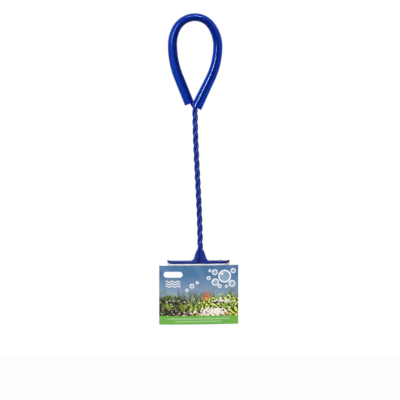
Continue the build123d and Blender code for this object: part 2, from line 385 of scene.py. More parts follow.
def web_skin(heights):
    """Level outlines of the web, across its front and back across its rear. q runs from one strand's line to
    the other's as 0 to 1, and the depth rises from groove_half to lobe_half as the root of a half sine over
    each lobe, to either side of groove_share. Below the bar's middle it rounds off by foot_round. Gives the
    places and how much painted shade darkens the colour, most in the groove and at the foot."""
    left, right = (throat_lines[strand][::-1] for strand in "ab")
    level = np.maximum(heights, bar_height)
    ends = [[np.interp(level, line[:, 2], line[:, axis]) for axis in (0, 1)] for line in (left, right)]
    q = np.linspace(0, 1, skin_half_sides)
    q = np.concatenate([q, q[::-1]])[None]
    front = np.repeat([-1.0, 1.0], skin_half_sides)[None]
    x, y = ((1 - q) * a[:, None] + q * b[:, None] for a, b in zip(*ends))
    lobe = np.where(q < groove_share, q / groove_share, (1 - q) / (1 - groove_share))
    lobe = np.sqrt(np.sin(math.pi * lobe) + 1e-9)
    foot = np.sqrt(1 - (np.minimum(heights - bar_height, 0) / foot_round) ** 2)[:, None]
    y = y + front * (groove_half + (lobe_half - groove_half) * lobe) * foot
    # Painted shade: darker all over, more towards the groove and at the rounded foot
    deep = np.clip(lobe_painted_shade + groove_painted_shade * (1 - lobe) + foot_painted_shade * (1 - foot), 0, painted_shade_most)
    return np.stack([x, y, np.broadcast_to(heights[:, None], x.shape)], axis=2), deep


skin_levels = np.linspace(bar_height - foot_reach, skin_top, skin_rows)
skin_places, skin_painted_shade = web_skin(skin_levels)
skin_section = np.zeros_like(skin_places)
skin_section[..., 2] = skin_levels[:, None] * skin_score_rate
throat_skin = new_piece(
    "throat_skin",
    skin_places,
    wrap(skin_rows, 2 * skin_half_sides),
    coat,
    sharp=60,
    section=skin_section,
    deep=skin_painted_shade,
)
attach(throat_skin, "net")
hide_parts("throat_web")


# Frame: the rest of the same wire, bent into a rounded rectangle behind the bar, a little narrower at the
# back and a little higher on the right. Its coat is thickest along the bar. At the two near corners the wire
# has sprung up and the coat is drawn thin, so that the ends of the bar turn up in thin tips. The coat's
# colour has painted shade: dark at these tips, and a little darker along the bar away from the throat.
frame_radius = 1.7 * MM
side_radius = 1.55 * MM
least_wall = 0.25 * MM
left_past, right_past = 0.3 * MM, 0.8 * MM
ring_low, ring_high = (np.array(corner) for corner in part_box("frame_coating"))
ring_left, ring_right = ring_low[0] - left_past, ring_high[0] + right_past
ring_near, ring_far = ring_low[1] + frame_radius, ring_high[1] - frame_radius
ring_middle = (ring_left + ring_right) / 2
ring_corner = 9.0 * MM
ring_narrow, narrow_start = 0.13, 0.6 * ring_corner
ring_roll = math.tan(math.radians(0.5))
thick_run = 1.5 * ring_corner
corner_spring = 1.6 * MM
corner_thin = 0.7 * MM
# How far each bell reaches at the corners: along the bar at its left and its right end, and behind
spring_reach = np.array([2.8, 2.8, 12.0]) * MM
thin_reach = np.array([3.4, 9.0, 7.0]) * MM
tip_reach = np.array([2.6, 3.2, 12.0]) * MM
bell_place, front_reach = ring_near + 0.9 * ring_corner, 9.5 * MM
# Painted shade: how dark the tips are, and how dark the bar is where it has left the throat
tip_painted_shade, bar_painted_shade = 0.8, 0.3
shade_start, shade_run = 4.0 * MM, 10.0 * MM


def corner_bell(x, y, reach):
    """1 at each near corner's outermost place, falling off as exp(-q^2) along the bar and behind."""
    left, right = (x - ring_left) / reach[0], (ring_right - x) / reach[1]
    behind = (y - bell_place) / np.where(y > bell_place, reach[2], front_reach)
    return (np.exp(-(left**2)) + np.exp(-(right**2))) * np.exp(-(behind**2))


def frame_lift(x, y):
    """How far the frame stands above level: its roll, right side up, and the spring of its near corners."""
    return (x - ring_middle) * ring_roll + corner_spring * corner_bell(x, y, spring_reach)


def frame_size(x, y):
    """The wire's radius: the bar's, eased to less behind it, and drawn thin at the near corners."""
    front = ease(1 - (y - ring_near) / thick_run)
    return side_radius + (bar_radius - side_radius) * front - corner_thin * corner_bell(x, y, thin_reach)


def frame_pinch(y):
    """The frame's width behind the bar as a share of the bar's: it falls with the root of the way back."""
    way_back = np.clip((y - ring_near - narrow_start) / (ring_far - ring_near), 0, 1)
    return 1 - ring_narrow * np.sqrt(way_back)


corners = np.array(
    [[ring_left, ring_near], [ring_left, ring_far], [ring_right, ring_far], [ring_right, ring_near]]
)
arriving = np.array([[-1, 0], [0, 1], [1, 0], [0, -1]])
leaving = np.roll(arriving, -1, axis=0)
bends = np.stack([corners - arriving * ring_corner, corners + leaving * ring_corner], axis=1).reshape(-1, 2)
turns = np.stack([arriving, leaving], axis=1).reshape(-1, 2)
level = np.full((len(bends), 1), bar_height)
ring_places = np.concatenate([throat_a[0][-1:], np.hstack([bends, level]), throat_b[0][-1:]])
ring_headings = np.concatenate([[[-1, 0, 0]], np.hstack([turns, level * 0]), [[-1, 0, 0]]])
ring_line = smooth_line(ring_places, ring_headings)
ring_y = ring_line[:, 1]
ring_x = ring_middle + (ring_line[:, 0] - ring_middle) * frame_pinch(ring_y)
ring_line = np.stack([ring_x, ring_y, ring_line[:, 2] + frame_lift(ring_x, ring_y)], axis=1)
ring_heading = headings_of(ring_line)
ring_size = frame_size(ring_x, ring_y)
on_bar = np.clip(1 - (ring_y - ring_near) / ring_corner, 0, 1)
off_throat = np.clip((np.abs(ring_x - ring_x[0]) - shade_start) / shade_run, 0, 1)
# Painted shade in the coat's colour: dark at the near corners' tips, and a little along the bar away from the
# throat
ring_painted_shade = tip_painted_shade * corner_bell(ring_x, ring_y, tip_reach) + bar_painted_shade * on_bar * off_throat
ring_painted_shade = np.repeat(np.clip(ring_painted_shade, 0, tip_painted_shade)[:, None], wire_sides, axis=1)
frame_coat = wire_piece("frame_coat", ring_line, ring_heading, [0, 0, 1], ring_size, coat, deep=ring_painted_shade)
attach(frame_coat, "net")
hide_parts("frame_coating")
core_size = np.minimum(core_radius, ring_size - least_wall)
frame_steel = wire_piece("frame_steel", ring_line, ring_heading, [0, 0, 1], core_size, steel)
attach(frame_steel, "net")
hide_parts("frame_core")


# Grip: a length of clear blue vinyl tube, pushed over the loop before the wire was twisted shut. Bending has
# flattened it at the crown, both ends are cut square, and the wire shows dark through the thick wall. Its
# bore fits the wire and runs off the middle with it.
vinyl, vinyl_shader, vinyl_places = new_finish(
    "blue_vinyl", {"IOR": 1.26, "Transmission Weight": 0.8, "Specular Tint": (0.32, 0.5, 1.0, 1.0)}
)
vinyl_section = vinyl_places.node("Attribute", {}, "Vector", attribute_name="section")
vinyl_cloud = grain(vinyl_places, 60.0, 2.0)
vinyl_score = grain(vinyl_section, 5.0, 3.0)
tint(vinyl_cloud, ink("002898"), ink("033ab4")).into(vinyl_shader.inputs["Base Color"])
(vinyl_score * 0.02 + 0.14).into(vinyl_shader.inputs["Roughness"])
dent(vinyl_shader, vinyl_score, 0.004, 0.05 * MM)

tube_radius = 5.5 * MM
tube_sides = 48
bore_gap = 0.06 * MM
end_lip = 0.3 * MM
# Half widths in the loop's plane: least at the crown, most towards the cut ends
tube_falls = np.array([0, 12, 25, 40, 62, 90, 108]) * MM
tube_halves = np.array([4.95, 5.25, 5.6, 5.8, 5.95, 6.15, 6.3]) * MM
# The right end flares, and the left one is a little drawn in
left_flare, right_flare = -0.3 * MM, 0.45 * MM
flare_start, flare_run = 81.0 * MM, 30.0 * MM
tube_fall = loop_top - loop_middle[:, 2]
tube_flare = np.where(loop_middle[:, 0] > 0, right_flare, left_flare)
flare_share = np.clip((tube_fall - flare_start) / flare_run, 0, 1)
tube_wide = np.interp(tube_fall, tube_falls, tube_halves) + tube_flare * flare_share
tube_deep = tube_radius**2 / tube_wide


def tube_walls():
    """The outside from one cut end to the other, round the lips, and back along the bore, as one closed ring
    of rows. Each end's rows stand in from the cut by lip_rows, and within the outside by lip_sizes."""
    end_rows, end_sizes = lip_rows[:, None] * end_lip, lip_sizes * end_lip
    first = loop_middle[0] + loop_heading[0] * end_rows
    last = (loop_middle[-1] - loop_heading[-1] * end_rows)[::-1]
    line = np.concatenate([first, loop_middle[2:-2], last])
    heading = np.concatenate(
        [np.full_like(first, loop_heading[0]), loop_heading[2:-2], np.full_like(last, loop_heading[-1])]
    )
    wide, deep = (
        np.concatenate([half[:1] - end_sizes, half[2:-2], half[-1:] - end_sizes[::-1]])
        for half in (tube_wide, tube_deep)
    )
    bore = loop_coat[::-1] + bore_gap
    return (
        np.concatenate([line, loop_line[::-1]]),
        np.concatenate([heading, loop_heading[::-1]]),
        np.concatenate([wide, bore]),
        np.concatenate([deep, bore]),
    )


line, heading, wide, deep = tube_walls()
places, section = carry(line, heading, [0, 1, 0], wide, deep, tube_sides)
grip = new_piece("vinyl_grip", places, wrap(len(line), tube_sides, ring=True), vinyl, section=section)
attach(grip, "net")
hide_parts("grip_tube")


# Hem: the mesh's edge, doubled into a band that hangs close under the frame wire. Both layers are the same
# knitted honeycomb of white nylon, gathered into a roll right below the wire and bound along the cut.
nylon, nylon_shader, nylon_places = new_finish(
    "white_nylon", {"Specular IOR Level": 0.35, "Sheen Weight": 0.25, "Sheen Roughness": 0.5}
)
nylon_cloud = grain(nylon_places, 90.0, 3.0)
nylon_fibre = grain(nylon_places, 4200.0, 2.0)
tint(nylon_cloud, ink("eff2f3"), ink("fbfcfc")).into(nylon_shader.inputs["Base Color"])
(nylon_fibre * 0.3 + 0.4).into(nylon_shader.inputs["Roughness"])
dent(nylon_shader, nylon_fibre, 0.25, 0.1 * MM)

net_cell = 1.65 * MM
yarn_width = 0.3 * MM
yarn_thick = 0.18 * MM
slope_step = 0.05 * MM


def honeycomb(low, high):
    """A flat net between two corners: knots of two kinds, up and down, each with three mitred corners at
    yarn_width / sqrt 3, and yarns that join an up knot to the down knots above, below left and below right.
    Gives the corners' flat places, the knots' flat places, and the yarns as corner numbers."""
    rise = net_cell / math.sqrt(3)
    columns = math.ceil((high[0] - low[0]) / net_cell) + 1
    rows = math.ceil((high[1] - low[1]) / (1.5 * rise)) + 1
    row, column = np.mgrid[0:rows, 0:columns]
    up = np.stack([low[0] + (column + row % 2 / 2) * net_cell, low[1] + row * 1.5 * rise], axis=2)
    knots = np.stack([up, up + [0, rise]])
    angles = np.radians([[30, 150, 270], [210, 330, 90]])[:, None, None, :]
    spokes = np.stack(np.broadcast_arrays(np.cos(angles), np.sin(angles)), axis=4) * yarn_width / math.sqrt(3)
    corners = knots[:, :, :, None] + spokes
    number = np.arange(2 * rows * columns).reshape(2, rows, columns)
    up_number, down_number = number * 3
    above = np.stack([up_number + 1, up_number, down_number + 1, down_number], axis=2).reshape(-1, 4)
    yarns = [above]
    shift = row[1:] % 2
    for side, (near_first, near_last, far_first, far_last) in ((0, (2, 1, 2, 1)), (1, (0, 2, 0, 2))):
        other = column[1:] + shift - 1 + side
        there = (other >= 0) & (other < columns)
        below = down_number[:-1][np.arange(rows - 1)[:, None], np.clip(other, 0, columns - 1)]
        here = up_number[1:]
        faces = np.stack([here + near_first, here + near_last, below + far_first, below + far_last], axis=2)
        yarns.append(faces[there])
    return corners.reshape(-1, 2), knots.reshape(-1, 2), np.concatenate(yarns)


def knit(low, high, inside, shape):
    """Yarns of a honeycomb bent on to a surface. inside says which knots are in the cut, and shape gives the
    surface's places from flat ones. Each corner is lifted half a yarn's thickness to both sides, along the
    cross product of the surface's two slopes, and every yarn gets a top, a bottom and two walls."""
    flat, knots, yarns = honeycomb(low, high)
    kept = inside(knots)
    yarns = yarns[kept[yarns[:, 0] // 3] & kept[yarns[:, 2] // 3]]
    used = np.unique(yarns // 3)
    ties = used[:, None] * 3 + np.arange(3)
    corners = np.unique(ties)
    lookup = np.zeros(len(flat), int)
    lookup[corners] = np.arange(len(corners))
    yarns, ties, flat = lookup[yarns], lookup[ties], flat[corners]
    slope_s = shape(flat + [slope_step, 0]) - shape(flat - [slope_step, 0])
    slope_t = shape(flat + [0, slope_step]) - shape(flat - [0, slope_step])
    lift = unit(np.cross(slope_s, slope_t)) * yarn_thick / 2
    middle = shape(flat)
    under = len(flat)
    walls = [
        np.stack([yarns[:, a] + under, yarns[:, b] + under, yarns[:, b], yarns[:, a]], axis=1)
        for a, b in ((1, 2), (3, 0))
    ]
    faces = [
        np.concatenate([yarns, yarns[:, ::-1] + under, *walls]),
        np.concatenate([ties, ties[:, ::-1] + under]),
    ]
    return np.concatenate([middle + lift, middle - lift]), faces


def join(parts):
    """Several pairs of places and faces as one pair."""
    starts = np.cumsum([0] + [len(places) for places, _ in parts])
    faces = [group + start for start, (_, groups) in zip(starts, parts) for group in groups]
    return np.concatenate([places for places, _ in parts]), faces


hem_tuck, hem_gap = 0.5 * MM, 0.55 * MM
hem_low, hem_high = (corner[2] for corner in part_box("net_hem"))
hem_high = hem_high + hem_tuck
layer_shift, layer_fall = 0.45 * MM, 0.6 * MM
hem_wave, short_wave, long_wave = 0.12 * MM, 4.1 * MM, 9.7 * MM
roll_thick, roll_tall, roll_fall = 1.75 * MM, 1.05 * MM, 2.05 * MM
binding_thick, binding_tall = 0.4 * MM, 0.25 * MM
band_rows, band_sides = 400, 10
look_ahead = 0.2 * MM
hem_table = np.concatenate([ring_line, ring_line[:1]])
hem_marks = distances(hem_table[:, :2])
hem_around = hem_marks[-1]


def ring_at(along, out):
    """X and y at a distance along the frame's line, moved outwards from it, square to the way ahead."""
    along = along % hem_around
    x, y = (np.interp(along, hem_marks, hem_table[:, axis]) for axis in (0, 1))
    ahead = (along + look_ahead) % hem_around
    next_x, next_y = (np.interp(ahead, hem_marks, hem_table[:, axis]) for axis in (0, 1))
    outward = unit(np.stack([y - next_y, next_x - x], axis=-1))
    return x + outward[..., 0] * out, y + outward[..., 1] * out


def hem_layer(out):
    """Gives the shape of one layer of the hem: along the frame's line and up, a little wavy."""

    def shape(flat):
        wave = hem_wave * np.sin(flat[:, 0] / short_wave) * np.sin(flat[:, 0] / long_wave + 1.0)
        x, y = ring_at(flat[:, 0], out + wave)
        return np.stack([x, y, flat[:, 1] + frame_lift(x, y)], axis=1)

    return shape


def hem_band(height, half_thick, half_tall):
    """An oval strip of bound yarn round the whole hem at a height."""
    along = np.linspace(0, hem_around, band_rows, endpoint=False)
    x, y = ring_at(along, np.zeros_like(along))
    line = np.stack([x, y, height + frame_lift(x, y)], axis=1)
    heading = unit(np.roll(line, -1, axis=0) - np.roll(line, 1, axis=0))
    size = np.ones(band_rows)
    places, _ = carry(line, heading, [0, 0, 1], size * half_thick, size * half_tall, band_sides)
    return places.reshape(-1, 3), wrap(band_rows, band_sides, ring=True)


hem_parts = [
    knit(
        (shift, hem_low + shift),
        (hem_around + shift, hem_high - layer_fall),
        lambda knots: (knots[:, 1] > hem_low) & (knots[:, 1] < hem_high),
        hem_layer(out),
    )
    for out, shift in ((hem_gap / 2, 0.0), (-hem_gap / 2, layer_shift))
]
hem_parts += [
    hem_band(hem_low + binding_tall, binding_thick, binding_tall),
    hem_band(hem_high - roll_fall, roll_thick, roll_tall),
]
hem = new_piece("mesh_hem", *join(hem_parts), nylon)
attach(hem, "net")
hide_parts("net_hem")


# Hem stitching: a row of short stitches of white sewing thread that closes the doubled band, just above its
# lower edge, fine loops of thread dyed like the wire that whip the band to it, and a small pale knot on top
# of the bar, at its right, where the thread is tied off.
thread, thread_shader, thread_places = new_finish(
    "sewing_thread", {"Specular IOR Level": 0.4, "Sheen Weight": 0.3, "Sheen Roughness": 0.4}
)
thread_dye = thread_places.node("Attribute", {}, "Fac", attribute_name="dye")
thread_ply = grain(thread_places, 2400.0, 3.0)
thread_white = tint(thread_ply, ink("dfe2e8"), ink("f6f6f8"))
tint(thread_dye, thread_white, ink("1c2d92")).into(thread_shader.inputs["Base Color"])
(thread_ply * 0.3 + 0.35).into(thread_shader.inputs["Roughness"])
dent(thread_shader, thread_ply, 0.4, 0.1 * MM)

thread_radius, thread_tip = 0.14 * MM, 0.4
stitch_pitch, stitch_length = 3.4 * MM, 2.5 * MM
stitch_rise, stitch_face = hem_low + 1.45 * MM, 0.5 * MM
whip_radius = 0.07 * MM
whip_pitch, whip_lean, whip_tail = 5.2 * MM, 0.9 * MM, 1.2 * MM
whip_start, whip_end = math.radians(-62), math.radians(242)
knot_place, knot_half, knot_radius = 31.1 * MM, 0.9 * MM, 1.6 * thread_radius
askew = [0.3, 0.2, 0.1]


def each_carried(lines, across, radius, sides):
    """A round thread along each of some lines, thinner at its two ends and closed over them."""
    parts = []
    for line in lines:
        size = np.full(len(line), radius)
        size[[0, -1]] *= thread_tip
        places, _ = carry(line, headings_of(line), across, size, size, sides)
        parts.append((places.reshape(-1, 3), wrap(len(line), sides)))
    return parts


def round_the_wire(along, turn, lift):
    """Thread that goes round the frame wire by an angle at each distance along it, lifted off its surface."""
    x, y = ring_at(along, np.zeros_like(along))
    reach = frame_size(x, y) + lift
    height = bar_height + frame_lift(x, y) + reach * np.sin(turn)
    x, y = ring_at(along, reach * np.cos(turn))
    return np.stack([x, y, height], axis=-1)


stitch_starts = np.arange(0, hem_around - stitch_pitch, stitch_pitch)
stitch_run = np.linspace(0, 1, 9)
stitch_along = stitch_starts[:, None] + stitch_run * stitch_length
stitch_out = stitch_face + thread_radius * (2.2 * np.sin(math.pi * stitch_run) ** 0.7 - 1.0)
x, y = ring_at(stitch_along, np.broadcast_to(stitch_out, stitch_along.shape))
stitch_lines = np.stack([x, y, stitch_rise + frame_lift(x, y)], axis=2)
whip_starts = np.arange(whip_pitch / 2, hem_around - whip_pitch / 2, whip_pitch)
whip_turn = np.linspace(whip_start, whip_end, 22)
whip_along = whip_starts[:, None] + np.linspace(0, 1, len(whip_turn)) * whip_lean
whip_lines = round_the_wire(whip_along, whip_turn, 0.4 * whip_radius)
whip_lines[:, [0, -1], 2] -= whip_tail
knot_along = hem_marks[np.argmin(np.hypot(ring_x - knot_place, ring_y))]
knot_turn = np.linspace(0, 2 * math.pi, 60)
knot_line = round_the_wire(
    knot_along + knot_half * np.sin(2 * knot_turn),
    math.pi / 2 + 0.5 * np.cos(3 * knot_turn),
    thread_radius * (3.6 + 2.8 * np.sin(5 * knot_turn)),
)
thread_parts = [
    join(each_carried(stitch_lines, [0, 0, 1], thread_radius, 7)),
    join(each_carried([knot_line], askew, knot_radius, 6)),
    join(each_carried(whip_lines, askew, whip_radius, 6)),
]
dye_shares = (0.0, 0.4, 1.0)
stitches = new_piece(
    "hem_stitches",
    *join(thread_parts),
    thread,
    dye=np.repeat(dye_shares, [len(places) for places, _ in thread_parts]),
)
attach(stitches, "net")
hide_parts("hem_stitching")


# Bag: one piece of the same nylon mesh, folded at the toe, with its two walls sewn together up the sides. It
# hangs as a wedge from the hem, upright in front and sloping behind, and slack between hem and toe.
bag_low, bag_high = (np.array(corner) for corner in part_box("net_bag"))
bag_middle = (bag_low[0] + bag_high[0]) / 2
mouth_half = (bag_high[0] - bag_low[0]) / 2 - yarn_thick / 2
bag_near, bag_far = bag_low[1] + yarn_thick / 2, bag_high[1] - yarn_thick / 2
bag_foot = bag_low[2] + yarn_thick
bag_height = hem_low - bag_foot
mouth_corner, toe_corner, corner_most = 8.3 * MM, 3.0 * MM, 0.48
toe_half = 30.9 * MM
toe_far = bag_near + 6.8 * MM
fold_start, fold_most = 0.95, 0.999
side_hollow = 4.5 * MM
wall_slack, slack_most = 1.3 * MM, 0.4
wall_wave, wall_swell = 3.7 * MM, 11.0 * MM
hem_lap, lap_share = 4.0 * MM, 0.06
toe_turn = 3.0 * MM
taper_end = 0.94


def bag_section(fall):
    """Half width, middle, depth and corner of the bag's level outline, at a share of its height from the hem
    to the toe. Past fold_start it rounds off to the fold as the root of 1 - q^2."""
    share = np.clip(fall, 0, 1)
    half = mouth_half + (toe_half - mouth_half) * share
    far = bag_far + (toe_far - bag_far) * share
    q = np.clip((share - fold_start) / (1 - fold_start), 0, fold_most)
    middle, depth = (far + bag_near) / 2, (far - bag_near) * np.sqrt(1 - q**2)
    corner = np.minimum(mouth_corner + (toe_corner - mouth_corner) * share, corner_most * depth)
    return half, middle, depth, corner


def seam_distance(fall):
    """Distance round from a wall's middle to the side seam: straight, a quarter round, and half a side."""
    half, _, depth, corner = bag_section(fall)
    return half - corner + math.pi / 2 * corner + depth / 2 - corner


def bag_place(wall, across, fall):
    """A place on the bag: wall -1 is the front and 1 the back, across runs round from the wall's middle to a
    seam, and fall from the hem to the toe. Slack draws walls in by a wave and sides in by an eased hollow."""
    half, middle, depth, corner = bag_section(fall)
    round_by = np.abs(across)
    straight = np.clip(round_by, 0, half - corner)
    turned = np.clip((round_by - straight) / corner, 0, math.pi / 2)
    side = np.maximum(round_by - straight - turned * corner, 0)
    share = np.clip(fall, 0, 1)
    slack = np.sin(math.pi * share**0.8)
    to_seam = np.clip((round_by - straight) / np.maximum(depth / 2, 1e-6), 0, 1)
    hollow = side_hollow * slack * ease(to_seam)
    wave = np.sin(across / wall_wave + 4.0 * share + wall) * np.cos(across / wall_swell - wall)
    give = np.minimum(wall_slack * slack * (0.5 + 0.5 * wave) * (1 - to_seam), slack_most * depth)
    x = np.sign(across) * (straight + corner * np.sin(turned) - hollow)
    inward = corner * (1 - np.cos(turned)) + side + give
    y = middle + wall * (depth / 2 - inward)
    x = bag_middle + x * (1 - (1 - frame_pinch(y)) * (1 - share))
    z = hem_low - fall * bag_height + frame_lift(x, y) * (1 - share) ** 2
    return np.stack([x, y, z], axis=-1)


def bag_wall(wall, length):
    """The yarns of one wall, cut to the seams: flat places are across, and down from the hem's lower edge."""

    def inside(knots):
        fall = knots[:, 1] / length
        return (np.abs(knots[:, 0]) < seam_distance(fall)) & (fall < fold_most) & (fall > -lap_share)

    def shape(flat):
        return bag_place(wall, flat[:, 0], flat[:, 1] / length)

    wide = float(seam_distance(0.0))
    return knit((-wide, -hem_lap), (wide, length), inside, shape)


front_length = bag_height + toe_turn
back_length = math.hypot(bag_height, bag_far - toe_far) + toe_turn
bag = new_piece("mesh_bag", *join([bag_wall(-1, front_length), bag_wall(1, back_length)]), nylon)
bag_cut = (2 * float(seam_distance(0.0)), front_length + back_length)
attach(bag, "net")
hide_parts("net_bag")
bag_cut[1] * float(seam_distance(0.0) + seam_distance(taper_end))


# Side seams: the edges of the two walls rolled together down each side of the bag, with white thread wound
# over the roll as an overlock stitch.
seam_fall = np.linspace(0.0, 0.985, 150)
seam_wide, seam_thick, seam_out = 0.75 * MM, 0.32 * MM, 0.35 * MM
seam_sides = 12
overlock_pitch, overlock_steps = 2.3 * MM, 18
overlock_radius = 0.15 * MM


def side_seam(side):
    """The flat roll along the seam's line, and the thread on it: the roll's oval, a thread wider, at an angle
    that grows evenly along the line."""
    line = bag_place(-1, side * seam_distance(seam_fall), seam_fall) + [side * seam_out, 0, 0]
    size = np.ones(len(line))
    roll, _ = carry(line, headings_of(line), [1, 0, 0], size * seam_wide, size * seam_thick, seam_sides)
    marks = distances(line)
    wound = np.linspace(0, marks[-1], math.ceil(marks[-1] / overlock_pitch * overlock_steps))
    base = np.stack([np.interp(wound, marks, line[:, axis]) for axis in range(3)], axis=1)
    base_heading = headings_of(base)
    first = unit(np.cross([1, 0, 0], base_heading))
    second = np.cross(base_heading, first)
    angle = wound / overlock_pitch * 2 * math.pi
    coil = base + first * (np.cos(angle) * (seam_wide + overlock_radius))[:, None]
    coil = coil + second * (np.sin(angle) * (seam_thick + overlock_radius))[:, None]
    coils = each_carried([coil], [1, 0.3, 0.2], overlock_radius, 6)
    return [(roll.reshape(-1, 3), wrap(len(line), seam_sides))] + coils


seams = new_piece("side_seam_rolls", *join(side_seam(-1) + side_seam(1)), thread)
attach(seams, "net")
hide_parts("side_seams")


# Card: one sheet of coated board, printed in front, folded under the toe of the bag and up along its back.
# It has bowed a little and hangs with its right end higher; its cut edges and its bare sides show the board.
card_past_left, card_past_right = 0.35 * MM, 0.3 * MM
card_low, card_high = (np.array(corner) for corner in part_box("pack_card"))
card_low[0], card_high[0] = card_low[0] - card_past_left, card_high[0] + card_past_right
card_wide, card_tall = card_high[0] - card_low[0], card_high[2] - card_low[2]
card_thick = 0.5 * MM
card_columns, face_rows, fold_rows, base_rows, back_rows = 280, 210, 8, 10, 36
inner_step = 18
fold_radius = 0.8 * MM
card_back_tall = 46.0 * MM
back_slope = 0.7118
card_roll = math.tan(math.radians(0.6))
card_bow, bow_run = 0.7 * MM, 6.0 * MM
card_sag, sag_skew = 0.55 * MM, 0.7
back_foot = card_high[1] - back_slope * card_back_tall

front_height = np.linspace(card_tall, fold_radius, face_rows)
fold_angle = np.linspace(0, math.pi / 2, fold_rows)[1:]
base_y = np.linspace(fold_radius, back_foot - card_low[1], base_rows)[1:]
back_height = np.linspace(0, card_back_tall, back_rows)[1:]
outer_y = np.concatenate(
    [
        np.zeros(face_rows),
        fold_radius * (1 - np.cos(fold_angle)),
        base_y,
        back_foot - card_low[1] + back_slope * back_height,
    ]
)
outer_z = np.concatenate(
    [front_height, fold_radius * (1 - np.sin(fold_angle)), np.zeros(base_rows - 1), back_height]
)
outer = np.stack([np.zeros_like(outer_y), card_low[1] + outer_y, card_low[2] + outer_z], axis=1)
inner_side = unit(np.cross([1, 0, 0], headings_of(outer)))
inner_rows = np.concatenate([np.arange(0, face_rows - 1, inner_step), np.arange(face_rows - 1, len(outer))])
inner = (outer + inner_side * card_thick)[inner_rows]
profile = np.concatenate([outer, inner[::-1]])
card_x = np.linspace(0, card_wide, card_columns)
away = card_x / card_wide * 2 - 1
card_places = np.repeat(profile[:, None], card_columns, axis=1)
card_places[..., 0] += card_low[0] + card_x
height_share = np.clip((profile[:, 2] - card_low[2]) / card_tall, 0, 1)[:, None]
front_share = np.clip(1 - (profile[:, 1] - card_low[1]) / bow_run, 0, 1)[:, None]
card_places[..., 1] -= card_bow * (1 - away**2) * np.sin(math.pi * height_share) * front_share
card_places[..., 2] += (card_x - card_wide / 2) * card_roll
card_places[..., 2] -= card_sag * np.sin(math.pi * (card_x / card_wide) ** sag_skew)

rows = len(profile)
row, column = np.mgrid[0:rows, 0:card_columns - 1]
here, after = row * card_columns + column, (row + 1) % rows * card_columns + column
card_faces = [np.stack([here, after, after + 1, here + 1], axis=2).reshape(-1, 4)]
edge = np.arange(len(outer))
opposite = rows - np.searchsorted(inner_rows, edge, side="right")
for end_column, order in ((0, 1), (card_columns - 1, -1)):
    rim = np.stack([edge[:-1], opposite[:-1], opposite[1:], edge[1:]], axis=1) * card_columns + end_column
    steps = opposite[:-1] != opposite[1:]
    card_faces += [rim[steps][:, ::order], rim[~steps][:, [0, 1, 3]][:, ::order]]

# The print is worked out at each point of the front. Its places and lengths are millimetres on the card
across_mm, up_mm = np.meshgrid(card_x / MM, front_height / MM)
band_top, band_green = 10.4, "70b349"
far_greens = ("4a5f30", "8ca055", "23301c", "b3c07c")
near_greens = ("7f9a2c", "a9c934", "3c5a22", "cfe060", "1f3016")
stem_reds = ("d9622b", "e8813f", "a83c24", "f0a860")
leaf_tints = ("b98aa6", "8d5f7a", "d9b3c0", "5d7d2c")
pebble_tints = ("e9cdb8", "fbf3ea", "c79a8c", "8d6f66", "4a3833")
# Each bubble's place across and up the card, and its radius
bubbles = (
    (80, 58.5, 7.0), (89, 49.5, 3.6), (68.5, 51.5, 3.8), (68, 63.5, 3.0),
    (74, 46.5, 2.0), (90.5, 65, 2.6), (60.5, 56.5, 2.0), (82, 46, 1.3),
    (62, 65.5, 1.3), (40, 47, 2.4), (46.5, 51, 1.5), (34, 42, 1.5),
)
shake = np.random.default_rng(11)


def colour(code):
    """A screen colour as three linear numbers."""
    return np.array(ink(code)[:3])


def lay(picture, code, cover, shade=1.0):
    """Print a screen colour over the picture, in place, by its cover from 0 to 1, times a shade."""
    shaded = colour(code) * np.asarray(shade)[..., None]
    picture += (shaded - picture) * np.clip(cover, 0, 1)[..., None]


def soft(distance, width):
    """Cover that goes from 0 to 1 over a width as a distance rises through 0."""
    return np.clip(distance / width + 0.5, 0, 1)


def mottling(shortest, longest):
    """An uneven field about 0: many waves of random direction, length and start, added up."""
    waves = 40
    field = np.zeros_like(across_mm)
    for number in range(waves):
        angle = shake.uniform(0, 2 * math.pi)
        length = shake.uniform(shortest, longest)
        start = shake.uniform(0, 7)
        run = across_mm * math.cos(angle) + up_mm * math.sin(angle)
        field += np.sin(2 * math.pi * run / length + start)
    return field / math.sqrt(waves / 2)


def print_water():
    """Blue that pales downwards, with faint slanting light, and a misty green thicket far off."""
    depth = np.clip((up_mm - 30) / 30, 0, 1)[..., None]
    picture = colour("96abc0") + (colour("47749f") - colour("96abc0")) * depth
    slant = across_mm + 0.62 * up_mm
    light = np.sin(slant * 0.23) * np.sin(slant * 0.071 + 1.0) * np.clip((up_mm - 30) / 40, 0, 1)
    lay(picture, "a8c4dc", 0.14 * np.clip(light, 0, 1))
    far_top = 36 + 3 * np.sin(across_mm * 0.13 + 2) + 2 * mottling(5, 14)
    lay(picture, "66785c", 0.75 * soft(far_top - up_mm, 7.0))
    return picture


